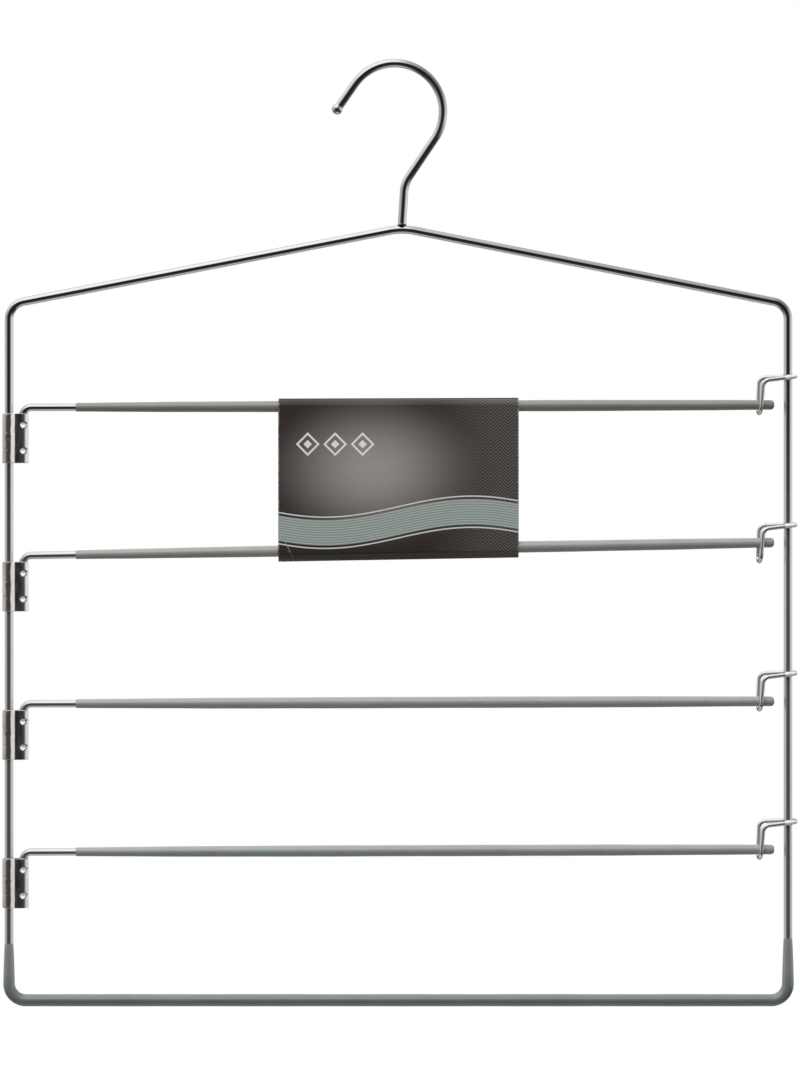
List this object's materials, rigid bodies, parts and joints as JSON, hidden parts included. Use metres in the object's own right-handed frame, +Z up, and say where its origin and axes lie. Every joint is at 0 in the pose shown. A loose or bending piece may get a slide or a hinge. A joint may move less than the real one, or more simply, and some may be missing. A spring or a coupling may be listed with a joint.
{
  "type": "multi-tier trouser hanger",
  "caption": "Wire trouser hanger: a fixed hook on a shouldered frame, with coated arms that swing out on hinge clips at one upright and rest in wire stirrups at the other.",
  "frame": {"origin": "the point under the hook's crown that rests on the rail", "axes": "+Z up, +X from the hinge side to the stirrup side, the front towards -Y"},
  "size_m": [0.3777, 0.01, 0.45],
  "materials": {
    "chrome": "bright chrome plate on drawn steel wire",
    "grey_pvc": "satin grey PVC dip coat",
    "printed_card": "dark printed card, low gloss"
  },
  "bodies": {
    "frame": {"frame_wire": "chrome", "frame_coating": "grey_pvc", "hook": "chrome", "hinge_clip_1": "chrome", "hinge_clip_2": "chrome", "hinge_clip_3": "chrome", "hinge_clip_4": "chrome", "stirrup_1": "chrome", "stirrup_2": "chrome", "stirrup_3": "chrome", "stirrup_4": "chrome"},
    "arm_1": {"arm_wire_1": "chrome", "arm_sleeve_1": "grey_pvc", "card_sleeve": "printed_card"},
    "arm_2": {"arm_wire_2": "chrome", "arm_sleeve_2": "grey_pvc"},
    "arm_3": {"arm_wire_3": "chrome", "arm_sleeve_3": "grey_pvc"},
    "arm_4": {"arm_wire_4": "chrome", "arm_sleeve_4": "grey_pvc"}
  },
  "joints": [
    {"name": "arm_1_swing", "type": "hinge", "parent": "frame", "child": "arm_1", "pos_m": [-0.17664, 0, -0.1615], "axis": [0, 0, 1], "range_deg": [-135, 135]},
    {"name": "arm_2_swing", "type": "hinge", "parent": "frame", "child": "arm_2", "pos_m": [-0.17664, 0, -0.2319], "axis": [0, 0, 1], "range_deg": [-135, 135]},
    {"name": "arm_3_swing", "type": "hinge", "parent": "frame", "child": "arm_3", "pos_m": [-0.17664, 0, -0.3023], "axis": [0, 0, 1], "range_deg": [-135, 135]},
    {"name": "arm_4_swing", "type": "hinge", "parent": "frame", "child": "arm_4", "pos_m": [-0.17664, 0, -0.3727], "axis": [0, 0, 1], "range_deg": [-135, 135]}
  ],
  "couplings": [
    {"joint": "arm_2_swing", "follows": "arm_1_swing", "ratio": 1}
  ]
}
